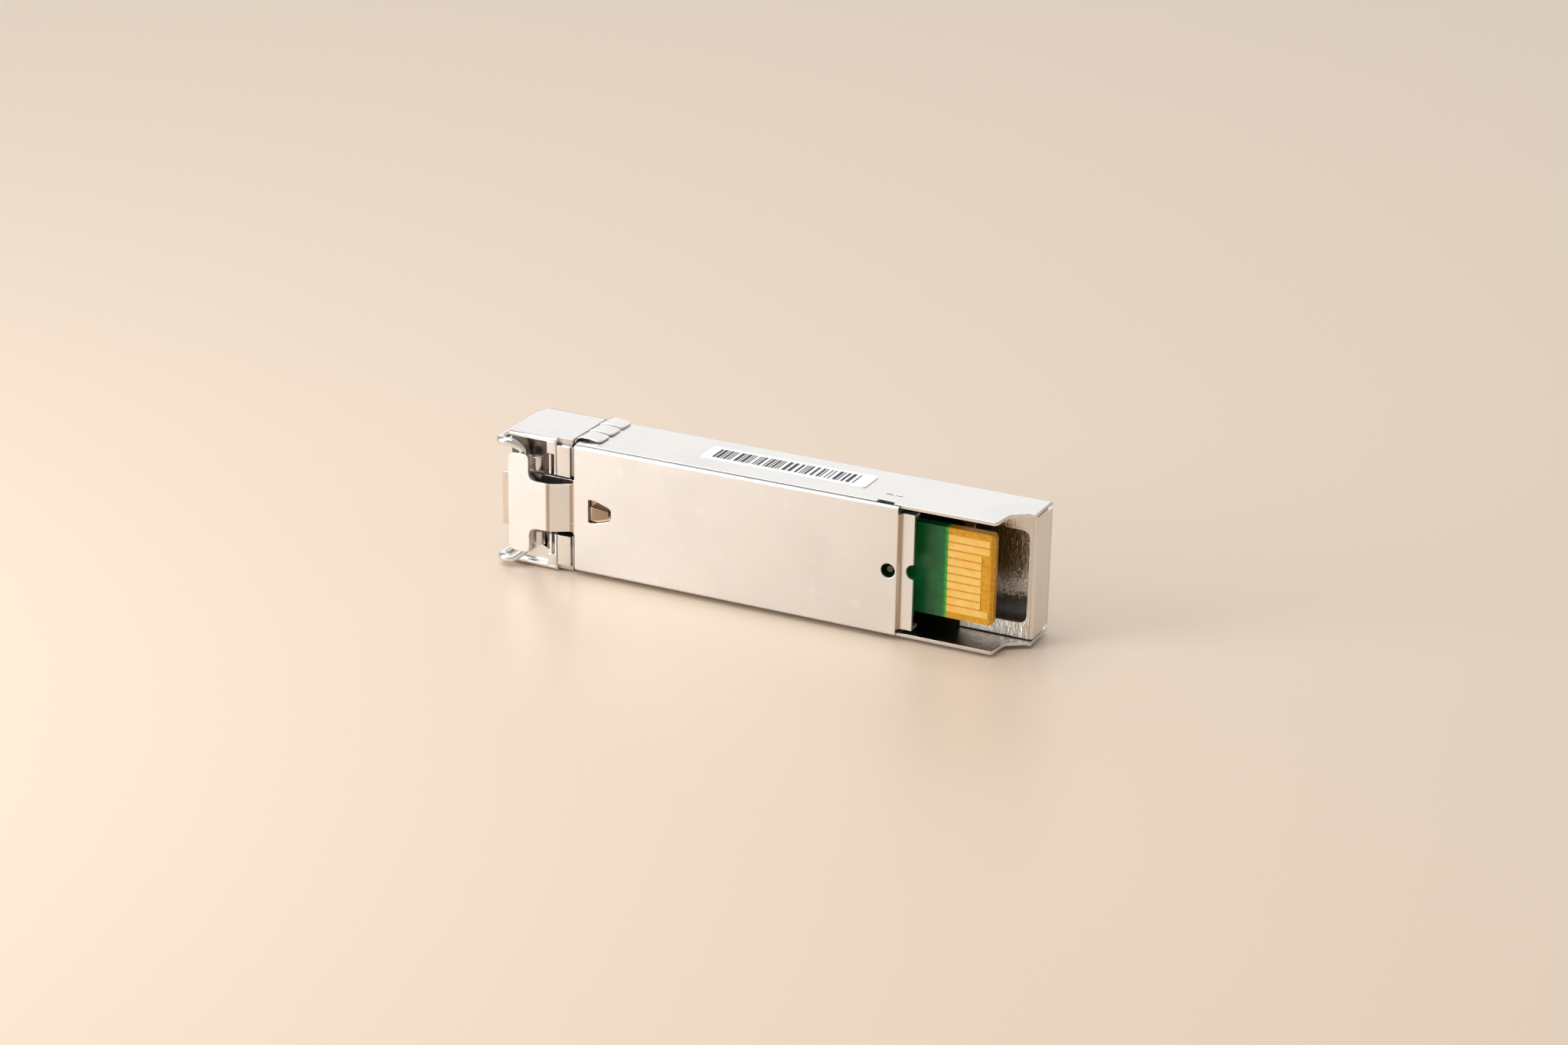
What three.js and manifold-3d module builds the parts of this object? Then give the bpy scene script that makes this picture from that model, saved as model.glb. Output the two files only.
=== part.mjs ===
// Small form-factor optical transceiver module with a duplex LC front, a wire bail and a rocking latch.
// Units are millimetres. The module lies on one narrow side, as it would be set down on a bench.
//
// Axes while modelling: X runs from the front face back to the host connector end, with 0 at the latch
// shoulder. Y runs from the outer face of the bottom cover (0) into the module. Z is the width, with 0 on
// the mid-plane. The finished group is moved so that its origin is under the middle of its bounding box.
import * as THREE from "three";
import { mergeVertices } from "three/addons/utils/BufferGeometryUtils.js";
import Module from "manifold-3d";

const wasm = await Module();
wasm.setup();

// ---- driving dimensions -------------------------------------------------------------------------------

const SHEET = 0.35; // steel sheet of the shell and the cover
const FIT = 0.1; // gap between fixed parts that slip into each other
const RUN = 0.15; // gap beside parts that move
const TOUCH = 0.02; // gap between parts that sit against each other
const LAP = 0.1; // how far a shape reaches into the one that it is joined to
const PAST = 1; // how far a cutting shape reaches past what it cuts

const REAR_X = 45; // host connector end, from the latch shoulder
const NOSE_FRONT_X = -9.4;
const STOP_X = -2.5; // shoulder that stops at the cage mouth
const BODY_DEPTH = 8.5;
const BODY_WIDTH = 13.4;
const NOSE_OVERHANG = 0.25; // nose past the body on each narrow side

// Lengths called INSET are measured forward from the rear end.
const SEAM_Y = 0.45; // near edge of the shell's narrow walls
const SHELL_FRONT_X = -2.05;
const SHELL_CORNER_R = 0.6;
const SHOULDER_Y = 4.6; // rear shoulder plate, outer face
const SHOULDER_LENGTH = 7.5;
const WINDOW_WIDTH = 9.4;
const WINDOW_INSETS = [6.4, 0.7];
const HOOD_STEP_INSET = 2.6;
const HOOD_STEP_Y = 3.25;

const COVER_FRONT_X = -2.07;
const COVER_END_INSET = 12.25; // where the flat of the cover ends
const STRIP_LENGTH = 1.55; // stepped strip behind the flat
const STRIP_DROP = 0.4;
const STRIP_FLANGE = 1.3;
const COVER_FLANGE = 2.0;
const COVER_LAP_INSET = 0.1; // from the shell's narrow side to the edge that the cover laps over its wall
const COVER_CORNER_R = 0.34;
const LOCK_LENGTH = 1.75; // lanced lock in each narrow wall, beside the standoff
const LOCK_Y = 1;
const LOCK_SLIT_Y = [2.45, 2.62];
const TONGUE_WIDTH = 5.0;
const TONGUE_RISE = 1.1;
const TONGUE_BEND_X = -4.25;
const BAR_FRONT_X = -8.9;
const BAR_BACK_X = -6.6;
const BAR_LENGTH = 10.3;

const PORT_PITCH = 6.25; // duplex LC
const PORT_SIZE = 4.6;
const PORT_FLOOR_Y = 2.3;
const PORT_WALL = 0.3; // between a port and the lever's channel
const PORT_LATCH_WIDTH = 2.6;
const PORT_LATCH_HEIGHT = 1.1;
const BACK_WALL = 0.8;
const SEAT_Y = 0.6; // floor of the bail's seat in the nose
const BOSS_R = 0.62; // round bosses behind the bail's pivot
const BOSS_INSET = 0.5; // from the end of the cover's T to the boss
const RIB_X = -4.9;
const BLOCK_X = -4;

const LEVER_WIDTH = 5.6;
const LEVER_PIVOT_X = 9.5;
const LEVER_PIVOT_Y = 1.2;
const LEVER_SHEET = 0.4;
const LEVER_TIP_LENGTH = 1; // hook in front of the cover's T
const LEVER_TIP_Y = -0.55;
const LEVER_PIN_R = 0.4;
const EAR_HALF = 0.75;
const POST_HEIGHT = 0.45; // latch post above the cover
const POST_LENGTH = 1.75;
const POST_WIDTH = 1.5;
const SPRING_COIL_R = 0.64;
const SPRING_WIRE_R = 0.11;

const WIRE_R = 0.42; // bail wire
const BAIL_PIVOT_X = -7.6;
const BAIL_CRANK = 0.85;
const BAIL_ARM_INSET = 0.5; // from the body's narrow side to the middle of the wire
const BAIL_ARM_GAP = 0.18; // between the nose and the arms
const BAIL_FOOT_Y = -1;
const BAIL_HANDLE_INSET = 0.25; // from the far face to the middle of the handle

const BOARD_Y = 2.25; // near face of the board
const BOARD_THICK = 1;
const BOARD_FRONT_X = 11;
const BOARD_END_INSET = 3.2;
const BOARD_EDGE_WIDTH = 9.2;
const BOARD_SIDE_GAP = 0.65;
const BOARD_NECK_INSET = 11.6;
const BOARD_BEVEL = 0.22;
const PAD_PITCH = 0.8;
const PAD_WIDTH = 0.66;
const PAD_COUNT = 10;
const PAD_THICK = 0.05;
const PAD_REACH = 4.75; // from the board's end to the far end of the contacts
const PAD_LONG_GAP = 0.5;
const PAD_SHORT_GAP = 1.3;
const STANDOFF_INSET = 13.15;
const STANDOFF_R = 1;
const STANDOFF_PIN_R = 0.5;
const STANDOFF_HOLE_R = 0.73;

const BARREL_R = 1.5;
const BARREL_TIP_X = -4.2;
const FERRULE_R = 0.64;
const FLANGE_THICK = 0.85;
const CAN_R = 2.1;
const HEADER_R = 2.7;
const CAN_LENGTH = 3.8;
const HEADER_THICK = 1;
const LEAD_LENGTH = 1;
const LEAD_R = 0.2;
const LEAD_OFFSET = 0.9;
const FLEX_THICK = 0.12;
const FLEX_HALF = 1.6;
const CLAMP_THICK = 0.5;

const FINGER_WIDTH = 2;
const FINGER_PITCH = 2.25;
const FINGER_REACH = 2.6;
const FINGER_SHEET = 0.12;
const FINGER_BULGE = 0.3;
const COLLAR_NEAR_Y = 1; // near end of the collar's two side legs

const LABEL_X = 10.3;
const LABEL_LENGTH = 17.7;
const LABEL_Y = 2.85;
const LABEL_HEIGHT = 3.25;
const LABEL_THICK = 0.08;

// ---- values that follow from them ---------------------------------------------------------------------

const HALF = BODY_WIDTH / 2;
const HALF_INSIDE = HALF - SHEET;
const FAR_INSIDE_Y = BODY_DEPTH - SHEET;
const NOSE_HALF = HALF + NOSE_OVERHANG;
const PORT_Z = PORT_PITCH / 2;
const AXIS_Y = PORT_FLOOR_Y + PORT_SIZE / 2; // optical axis
const LEVER_Y = SHEET + RUN; // outer face of the lever's strip
const LEVER_WALL_X = BAR_FRONT_X + 0.2;
const CAVITY_HALF = LEVER_WIDTH / 2 + 0.35; // channel in the nose for the lever
const COVER_HALF = HALF_INSIDE - FIT; // over the flanges, inside the shell
const LAP_HALF = HALF - COVER_LAP_INSET;
const COVER_END_X = REAR_X - COVER_END_INSET;
const STRIP_END_X = COVER_END_X + STRIP_LENGTH;
const HOOD_STEP_X = REAR_X - HOOD_STEP_INSET;
const TONGUE_Y = -TONGUE_RISE;
const BAR_HALF = BAR_LENGTH / 2;
const BAIL_PIVOT_Y = TONGUE_Y + SHEET + WIRE_R + 0.08;
const BAIL_ARM_Z = HALF - BAIL_ARM_INSET;
const BAIL_ARM_X = NOSE_FRONT_X - BAIL_ARM_GAP - WIRE_R;
const BAIL_HANDLE_Y = BODY_DEPTH - BAIL_HANDLE_INSET;
const BOARD_FAR_Y = BOARD_Y + BOARD_THICK;
const BOARD_END_X = REAR_X - BOARD_END_INSET;
const BOARD_NECK_X = REAR_X - BOARD_NECK_INSET;
const BOARD_HALF = HALF_INSIDE - BOARD_SIDE_GAP;
const STANDOFF_X = REAR_X - STANDOFF_INSET;
const LOCK_X = STANDOFF_X - 1.5;
const FLANGE_X = BACK_WALL + 0.05; // front of the barrel flanges
const FLANGE_BACK_X = FLANGE_X + FLANGE_THICK;
const CAN_X = FLANGE_BACK_X + TOUCH;
const HEADER_X = CAN_X + CAN_LENGTH;
const HEADER_BACK_X = HEADER_X + HEADER_THICK;
const SIDES = [-1, 1];

// ---- shape helpers ------------------------------------------------------------------------------------

function solid(geometry) {
  const bare = geometry.clone();
  bare.deleteAttribute("normal");
  bare.deleteAttribute("uv");
  const merged = mergeVertices(bare, 1e-4);
  const vertProperties = merged.getAttribute("position").array;
  const triVerts = new Uint32Array(merged.index.array);
  return new wasm.Manifold(new wasm.Mesh({ numProp: 3, vertProperties, triVerts }));
}

function geometryOf(manifold) {
  const mesh = manifold.getMesh();
  const geometry = new THREE.BufferGeometry();
  geometry.setAttribute("position", new THREE.BufferAttribute(mesh.vertProperties, 3));
  geometry.setIndex(new THREE.BufferAttribute(mesh.triVerts, 1));
  geometry.computeVertexNormals();
  return geometry;
}

function box(x0, x1, y0, y1, z0, z1) {
  const geometry = new THREE.BoxGeometry(x1 - x0, y1 - y0, z1 - z0);
  geometry.translate((x0 + x1) / 2, (y0 + y1) / 2, (z0 + z1) / 2);
  return solid(geometry);
}

// Extrudes an outline from one coordinate to another. Along "x" the outline is drawn in (y, z), along "y"
// in (x, z) and along "z" in (x, y).
function prism(outline, along, from, to, curveSegments = 5) {
  const depth = to - from;
  const geometry = new THREE.ExtrudeGeometry(outline, { depth, bevelEnabled: false, curveSegments });
  const turn = new THREE.Matrix4();
  const [x, y, z] = [new THREE.Vector3(1, 0, 0), new THREE.Vector3(0, 1, 0), new THREE.Vector3(0, 0, 1)];
  if (along === "x") turn.makeBasis(y, z, x).setPosition(from, 0, 0);
  if (along === "y") turn.makeBasis(x, z, y.negate()).setPosition(0, to, 0);
  if (along === "z") turn.setPosition(0, 0, from);
  geometry.applyMatrix4(turn);
  return solid(geometry);
}

function polygon(points) {
  return new THREE.Shape(points.map(([a, b]) => new THREE.Vector2(a, b)));
}

// A closed outline whose corners are rounded: each point is [a, b, radius].
function rounded(points) {
  const shape = new THREE.Shape();
  points.forEach(([a, b, radius = 0], i) => {
    const corner = new THREE.Vector2(a, b);
    const [pa, pb] = points[(i + points.length - 1) % points.length];
    const [na, nb] = points[(i + 1) % points.length];
    const before = new THREE.Vector2(pa, pb).sub(corner);
    const after = new THREE.Vector2(na, nb).sub(corner);
    const half = before.angleTo(after) / 2;
    const cut = radius / Math.tan(half);
    const start = before.setLength(cut).add(corner);
    const end = after.setLength(cut).add(corner);
    if (i === 0) shape.moveTo(start.x, start.y);
    else shape.lineTo(start.x, start.y);
    if (radius > 0) shape.quadraticCurveTo(a, b, end.x, end.y);
  });
  shape.closePath();
  return shape;
}

function roundedBox2(a0, a1, b0, b1, r) {
  return rounded([[a0, b0, r], [a1, b0, r], [a1, b1, r], [a0, b1, r]]);
}

// A stretch of the width from inner to outer, on the side that is wanted.
function span(side, inner, outer) {
  return side > 0 ? [inner, outer] : [-outer, -inner];
}

function rod(along, radius, from, to, centre, segments = 20) {
  const geometry = new THREE.CylinderGeometry(radius, radius, to - from, segments);
  geometry.translate(0, (from + to) / 2, 0);
  if (along === "x") geometry.rotateZ(-Math.PI / 2);
  if (along === "z") geometry.rotateX(Math.PI / 2);
  geometry.translate(...centre);
  return solid(geometry);
}

// A turned part on an axis along X: the profile is a list of [x, radius] that starts and ends on the axis.
function turned(profile, y, z, segments = 24) {
  const geometry = new THREE.LatheGeometry(profile.map(([x, r]) => new THREE.Vector2(r, x)), segments);
  geometry.rotateZ(-Math.PI / 2);
  geometry.translate(0, y, z);
  return solid(geometry);
}

// Round wire along a path of points [x, y, z, bend radius].
function wirePath(points) {
  const path = new THREE.CurvePath();
  let last = new THREE.Vector3(...points[0]);
  for (let i = 1; i < points.length; i += 1) {
    const corner = new THREE.Vector3(...points[i]);
    const next = points[i + 1];
    const bend = points[i][3] ?? 0;
    if (!next || bend === 0) {
      path.add(new THREE.LineCurve3(last, corner));
      last = corner;
    } else {
      const start = last.clone().sub(corner).setLength(bend).add(corner);
      const end = new THREE.Vector3(...next).sub(corner).setLength(bend).add(corner);
      path.add(new THREE.LineCurve3(last, start));
      path.add(new THREE.QuadraticBezierCurve3(start, corner, end));
      last = end;
    }
  }
  return path;
}

function wire(path, radius, steps, sides) {
  const section = new THREE.Shape();
  section.absarc(0, 0, radius, 0, 2 * Math.PI);
  const settings = { steps, extrudePath: path, bevelEnabled: false, curveSegments: sides };
  return solid(new THREE.ExtrudeGeometry(section, settings));
}

const module = new THREE.Group();

function part(name, body, color, metalness, roughness) {
  const material = new THREE.MeshStandardMaterial({ color, metalness, roughness });
  const mesh = new THREE.Mesh(geometryOf(body), material);
  mesh.name = name;
  module.add(mesh);
  return mesh;
}

const STEEL = [0xe6e0d8, 1, 0.3];
const CAST = [0xd9cfc4, 1, 0.42];
const SPRING_STEEL = [0xe9e4dc, 1, 0.28];
const GOLD = [0xffb84f, 1, 0.3];
const SOLDER_MASK = [0x12743a, 0, 0.45];
const BLACK_RESIN = [0x1c1c1f, 0, 0.5];

// ---- shell and cover ----------------------------------------------------------------------------------

// Top shell: one stamped channel. Its far wall is folded up at the rear and forward again, which makes the
// rear flap and the shoulder plate with a window for the host connector.
function topShell() {
  const outerR = SHELL_CORNER_R;
  const section = rounded([
    [SEAM_Y, -HALF], [BODY_DEPTH, -HALF, outerR], [BODY_DEPTH, HALF, outerR], [SEAM_Y, HALF],
    [SEAM_Y, HALF_INSIDE], [FAR_INSIDE_Y, HALF_INSIDE, outerR - SHEET],
    [FAR_INSIDE_Y, -HALF_INSIDE, outerR - SHEET], [SEAM_Y, -HALF_INSIDE],
  ]);
  let shell = prism(section, "x", SHELL_FRONT_X, REAR_X, 4);

  const flapHalf = HALF_INSIDE - FIT;
  const fold = rounded([
    [REAR_X - SHEET - 1, BODY_DEPTH - 0.05], [REAR_X, BODY_DEPTH - 0.05, 0.4], [REAR_X, SHOULDER_Y, 0.4],
    [REAR_X - SHOULDER_LENGTH, SHOULDER_Y], [REAR_X - SHOULDER_LENGTH, SHOULDER_Y + SHEET],
    [REAR_X - SHEET, SHOULDER_Y + SHEET, 0.1], [REAR_X - SHEET, FAR_INSIDE_Y, 0.1],
    [REAR_X - SHEET - 1, FAR_INSIDE_Y],
  ]);
  shell = shell.add(prism(fold, "z", -flapHalf, flapHalf));

  const [windowFront, windowBack] = WINDOW_INSETS.map((inset) => REAR_X - inset);
  const window = roundedBox2(windowFront, windowBack, -WINDOW_WIDTH / 2, WINDOW_WIDTH / 2, 0.9);
  shell = shell.subtract(prism(window, "y", SHOULDER_Y - LAP, SHOULDER_Y + SHEET + LAP));

  // the narrow walls end in a flowing step up to the rear flap
  const step = new THREE.Shape();
  const stepEnd = HOOD_STEP_X + 0.9;
  step.moveTo(HOOD_STEP_X, SEAM_Y - PAST);
  step.lineTo(HOOD_STEP_X, SEAM_Y);
  step.bezierCurveTo(HOOD_STEP_X + 0.45, SEAM_Y + 0.2, stepEnd - 0.8, HOOD_STEP_Y, stepEnd, HOOD_STEP_Y);
  step.lineTo(REAR_X - 0.5, SHOULDER_Y - 0.5);
  step.lineTo(REAR_X + PAST, SHOULDER_Y - 0.35);
  step.lineTo(REAR_X + PAST, SEAM_Y - PAST);
  shell = shell.subtract(prism(step, "z", -HALF - PAST, HALF + PAST, 6));

  // lanced lock beside the seam, and the bend reliefs at the root of the rear flap
  const lockX = [LOCK_X, LOCK_X + LOCK_LENGTH];
  for (const side of SIDES) {
    const wall = span(side, HALF_INSIDE - LAP, HALF + LAP);
    shell = shell.subtract(prism(roundedBox2(...lockX, SEAM_Y - 0.5, LOCK_Y, 0.2), "z", ...wall, 3));
    shell = shell.subtract(prism(roundedBox2(...lockX, ...LOCK_SLIT_Y, 0.06), "z", ...wall, 2));
    const relief = span(side, flapHalf - 0.35, HALF_INSIDE);
    shell = shell.subtract(box(REAR_X - 0.5, REAR_X + LAP, BODY_DEPTH - 1.1, BODY_DEPTH + LAP, ...relief));
  }
  return shell;
}

// Bottom cover: one stamping, whose edges lap over the shell's walls while its flanges go inside them. Its
// front tongue steps out over the nose and ends in a T that holds the bail down. Its rear edge steps in, and a
// half-round notch there lines up with the board's standoff.
function bottomCover() {
  const flangeEnd = COVER_FLANGE + SHEET;
  const half = (side) => [
    [0, side * LAP_HALF, COVER_CORNER_R], [SHEET, side * LAP_HALF], [SHEET, side * COVER_HALF],
    [flangeEnd, side * COVER_HALF], [flangeEnd, side * (COVER_HALF - SHEET)],
    [SHEET, side * (COVER_HALF - SHEET), 0.1],
  ];
  const section = rounded([...half(-1), ...half(1).reverse()]);
  let cover = prism(section, "x", COVER_FRONT_X, COVER_END_X, 4);
  const flangeFront = BACK_WALL + FIT;
  const flangeFar = COVER_FLANGE + SHEET + PAST;
  cover = cover.subtract(box(COVER_FRONT_X - PAST, flangeFront, SHEET, flangeFar, -HALF, HALF));

  const stripHalf = COVER_HALF - SHEET;
  const joggle = polygon([
    [COVER_END_X - 0.05, 0], [COVER_END_X + 0.1, 0], [COVER_END_X + 0.4, STRIP_DROP],
    [STRIP_END_X, STRIP_DROP], [STRIP_END_X, STRIP_DROP + SHEET], [COVER_END_X + 0.25, STRIP_DROP + SHEET],
    [COVER_END_X - 0.05, SHEET],
  ]);
  cover = cover.add(prism(joggle, "z", -stripHalf, stripHalf));
  for (const side of SIDES) {
    const flange = span(side, stripHalf - SHEET, stripHalf);
    const flangeX = COVER_END_X + 0.45;
    cover = cover.add(box(flangeX, STRIP_END_X, STRIP_DROP, STRIP_DROP + STRIP_FLANGE, ...flange));
  }
  for (const side of SIDES) {
    const flange = span(side, COVER_HALF - SHEET - LAP, COVER_HALF + LAP);
    cover = cover.subtract(box(LOCK_X, LOCK_X + LOCK_LENGTH, SHEET, LOCK_Y, ...flange));
  }
  const notchR = 0.75;
  cover = cover.subtract(rod("y", notchR, -PAST, 2 * PAST, [STRIP_END_X, 0, 0.1]));
  cover = cover.subtract(rod("y", STANDOFF_HOLE_R, -PAST, 2 * PAST, [STANDOFF_X, 0, 0]));

  const holeFront = -0.5;
  const holeBack = POST_LENGTH + 0.3;
  const holeHalf = POST_WIDTH / 2 + 0.47;
  const latchHole = rounded([
    [holeFront, -holeHalf, 0.15], [0.25, -holeHalf, 0.3], [holeBack, -0.62, 0.45], [holeBack, 0.62, 0.45],
    [0.25, holeHalf, 0.3], [holeFront, holeHalf, 0.15],
  ]);
  cover = cover.subtract(prism(latchHole, "y", -LAP, SHEET + LAP));

  const bendX = TONGUE_BEND_X;
  const riser = polygon([
    [COVER_FRONT_X + 0.1, 0], [-2.35, 0], [bendX, TONGUE_Y], [bendX - 0.5, TONGUE_Y],
    [bendX - 0.5, TONGUE_Y + SHEET], [bendX + 0.1, TONGUE_Y + SHEET], [-2.25, SHEET],
    [COVER_FRONT_X + 0.1, SHEET],
  ]);
  const stemHalf = TONGUE_WIDTH / 2;
  cover = cover.add(prism(riser, "z", -stemHalf, stemHalf));
  const tee = rounded([
    [bendX - 0.4, -stemHalf], [bendX - 0.4, stemHalf], [BAR_BACK_X, stemHalf, 0.9],
    [BAR_BACK_X, BAR_HALF, 0.5], [BAR_FRONT_X, BAR_HALF, 0.8], [BAR_FRONT_X, -BAR_HALF, 0.8],
    [BAR_BACK_X, -BAR_HALF, 0.5], [BAR_BACK_X, -stemHalf, 0.9],
  ]);
  cover = cover.add(prism(tee, "y", TONGUE_Y, TONGUE_Y + SHEET));
  for (const side of SIDES) {
    const tooth = polygon([
      [COVER_FRONT_X + 0.1, side * (stemHalf - 0.1)], [COVER_FRONT_X - 0.3, side * (stemHalf - 0.1)],
      [COVER_FRONT_X + 0.1, side * (stemHalf + 0.6)],
    ]);
    cover = cover.add(prism(tooth, "y", 0, SHEET));
  }
  return cover;
}

part("top_shell", topShell(), ...STEEL);
part("bottom_cover", bottomCover(), ...STEEL);

// ---- nose ---------------------------------------------------------------------------------------------

// Nose housing: a die casting with two LC ports, the stop shoulder, the seat for the bail and two arms that
// carry the lever's pin.
function noseHousing() {
  const across = rounded([
    [0, -NOSE_HALF, 0.3], [BODY_DEPTH, -NOSE_HALF, 1.3], [BODY_DEPTH, NOSE_HALF, 1.3], [0, NOSE_HALF, 0.3],
  ]);
  const sideways = rounded([
    [NOSE_FRONT_X, -1, 0], [STOP_X, -1, 0], [STOP_X, BODY_DEPTH, 0], [NOSE_FRONT_X, BODY_DEPTH, 2.2],
  ]);
  let nose = prism(across, "x", NOSE_FRONT_X, STOP_X);
  nose = nose.intersect(prism(sideways, "z", -NOSE_HALF - PAST, NOSE_HALF + PAST));
  const insideHalf = HALF_INSIDE - FIT;
  const insideFar = FAR_INSIDE_Y - FIT;
  nose = nose.add(box(STOP_X - 0.5, BACK_WALL, SEAM_Y, insideFar, -insideHalf, insideHalf));

  // the seat for the bail and the cover's T, with a lip left along each narrow side
  const lipZ = BAIL_ARM_Z + 0.28;
  const seatFar = SEAT_Y + LAP;
  nose = nose.subtract(box(NOSE_FRONT_X - PAST, BLOCK_X, -2 * PAST, SEAT_Y, -lipZ, lipZ));
  for (const side of SIDES) {
    const saddleY = BAIL_PIVOT_Y + WIRE_R + 0.06;
    const bossX = BAIL_PIVOT_X + WIRE_R + RUN;
    const bossZ = span(side, CAVITY_HALF + 0.05, BAR_HALF - BOSS_INSET);
    nose = nose.add(box(BAIL_PIVOT_X - 0.8, bossX + LAP, saddleY, seatFar, ...bossZ));
    const bossMiddle = bossX + BOSS_R;
    nose = nose.add(rod("z", BOSS_R, 0, bossZ[1] - bossZ[0], [bossMiddle, BOSS_R - 0.05, bossZ[0]], 24));
    nose = nose.add(box(bossX, bossX + 2 * BOSS_R, BOSS_R - 0.05, seatFar, ...bossZ));
    const ribZ = span(side, CAVITY_HALF - 0.05, lipZ + LAP);
    nose = nose.add(box(RIB_X, RIB_X + 0.28, 0, seatFar, ...ribZ));
    nose = nose.add(box(BLOCK_X - 0.32, BLOCK_X - 0.06, 0, seatFar, ...ribZ));
    const blockZ = span(side, BAR_HALF + 0.15, lipZ + LAP);
    nose = nose.add(box(RIB_X - 0.2, BLOCK_X - 0.1, -0.02, seatFar, ...blockZ));
    const trimX = STOP_X + 0.15;
    nose = nose.subtract(box(BLOCK_X, trimX, -PAST, SEAT_Y, ...span(side, lipZ - 0.18, NOSE_HALF + PAST)));
    nose = nose.subtract(box(trimX, BACK_WALL - 0.9, -PAST, SEAT_Y, ...span(side, 0, NOSE_HALF + PAST)));
  }

  // lever channel, ports and the bores for the barrels
  const channelX = [NOSE_FRONT_X - PAST, BACK_WALL + PAST];
  nose = nose.subtract(box(...channelX, -PAST, PORT_FLOOR_Y - PORT_WALL, -CAVITY_HALF, CAVITY_HALF));
  for (const side of SIDES) {
    const z = side * PORT_Z;
    const half = PORT_SIZE / 2;
    const port = roundedBox2(PORT_FLOOR_Y, PORT_FLOOR_Y + PORT_SIZE, z - half, z + half, 0.2);
    nose = nose.subtract(prism(port, "x", NOSE_FRONT_X - PAST, 0, 2));
    const slotHalf = PORT_LATCH_WIDTH / 2;
    const slotY = PORT_FLOOR_Y + PORT_SIZE;
    const slotFar = slotY + PORT_LATCH_HEIGHT;
    const catchHalf = slotHalf + 0.7; // the plug's latch springs out behind this catch
    nose = nose.subtract(box(NOSE_FRONT_X - PAST, -1.5, slotY - 0.5, slotFar, z - slotHalf, z + slotHalf));
    nose = nose.subtract(box(-6.2, -4.4, slotY - 0.5, slotFar - 0.3, z - catchHalf, z + catchHalf));
    nose = nose.subtract(rod("x", BARREL_R + 0.05, -0.5, BACK_WALL + PAST, [0, AXIS_Y, z], 24));
  }

  const armX = BACK_WALL - 0.3;
  const armFar = AXIS_Y - HEADER_R - 0.3;
  const earX = [LEVER_PIVOT_X - EAR_HALF + 0.05, LEVER_PIVOT_X + EAR_HALF - 0.05];
  const arm = polygon([
    [armX, LEVER_Y], [earX[1], LEVER_Y], [earX[1], LEVER_PIVOT_Y + EAR_HALF],
    [earX[0], LEVER_PIVOT_Y + EAR_HALF], [earX[0] - 0.5, armFar], [armX, armFar],
  ]);
  const armOuter = CAVITY_HALF + 0.6;
  for (const side of SIDES) nose = nose.add(prism(arm, "z", ...span(side, CAVITY_HALF, armOuter)));
  const pinHole = [LEVER_PIVOT_X, LEVER_PIVOT_Y, 0];
  return nose.subtract(rod("z", LEVER_PIN_R + TOUCH, -armOuter - PAST, armOuter + PAST, pinHole, 16));
}

part("nose_housing", noseHousing(), ...CAST);

// Shield collar: a three-sided frame of thin spring steel between the nose and the shell, with fingers that
// bulge over the shell and touch the cage.
function shieldCollar() {
  const frameX = STOP_X + 0.04;
  const inner = HALF_INSIDE;
  const outer = HALF + 0.14;
  const farIn = FAR_INSIDE_Y - 0.05;
  const farOut = BODY_DEPTH + 0.14;
  const frame = polygon([
    [COLLAR_NEAR_Y, -outer], [farOut, -outer], [farOut, outer], [COLLAR_NEAR_Y, outer],
    [COLLAR_NEAR_Y, inner], [farIn, inner], [farIn, -inner], [COLLAR_NEAR_Y, -inner],
  ]);
  let collar = prism(frame, "x", frameX, frameX + FINGER_SHEET);

  // one finger seen from its edge: a = distance back from the frame, b = height over the body's face
  const lift = 0.04;
  const tipA = FINGER_REACH;
  const crest = lift + FINGER_BULGE;
  const edge = new THREE.Shape();
  edge.moveTo(0, lift);
  const outside = FINGER_SHEET;
  edge.bezierCurveTo(tipA * 0.1, crest, tipA * 0.5, crest, tipA, lift);
  edge.lineTo(tipA, lift + outside);
  edge.bezierCurveTo(tipA * 0.5, crest + outside, tipA * 0.1, crest + outside, 0, lift + outside);
  const w = FINGER_WIDTH / 2;
  const plan = rounded([[0, -w], [tipA, -w, 0.4], [tipA, w, 0.4], [0, w]]);
  const finger = prism(edge, "z", -w, w, 8).intersect(prism(plan, "y", -1, 2, 4));
  const far = BODY_DEPTH;
  for (const i of [-1, 0, 1]) {
    const y = (COLLAR_NEAR_Y + BODY_DEPTH) / 2 + i * FINGER_PITCH;
    collar = collar.add(finger.rotate([90, 0, 0]).translate([frameX, y, HALF]));
    collar = collar.add(finger.rotate([-90, 0, 0]).translate([frameX, y, -HALF]));
  }
  for (const i of [-1.5, -0.5, 0.5, 1.5]) {
    collar = collar.add(finger.translate([frameX, far, i * FINGER_PITCH]));
  }
  return collar;
}

part("shield_collar", shieldCollar(), ...SPRING_STEEL);

// ---- latch --------------------------------------------------------------------------------------------

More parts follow.
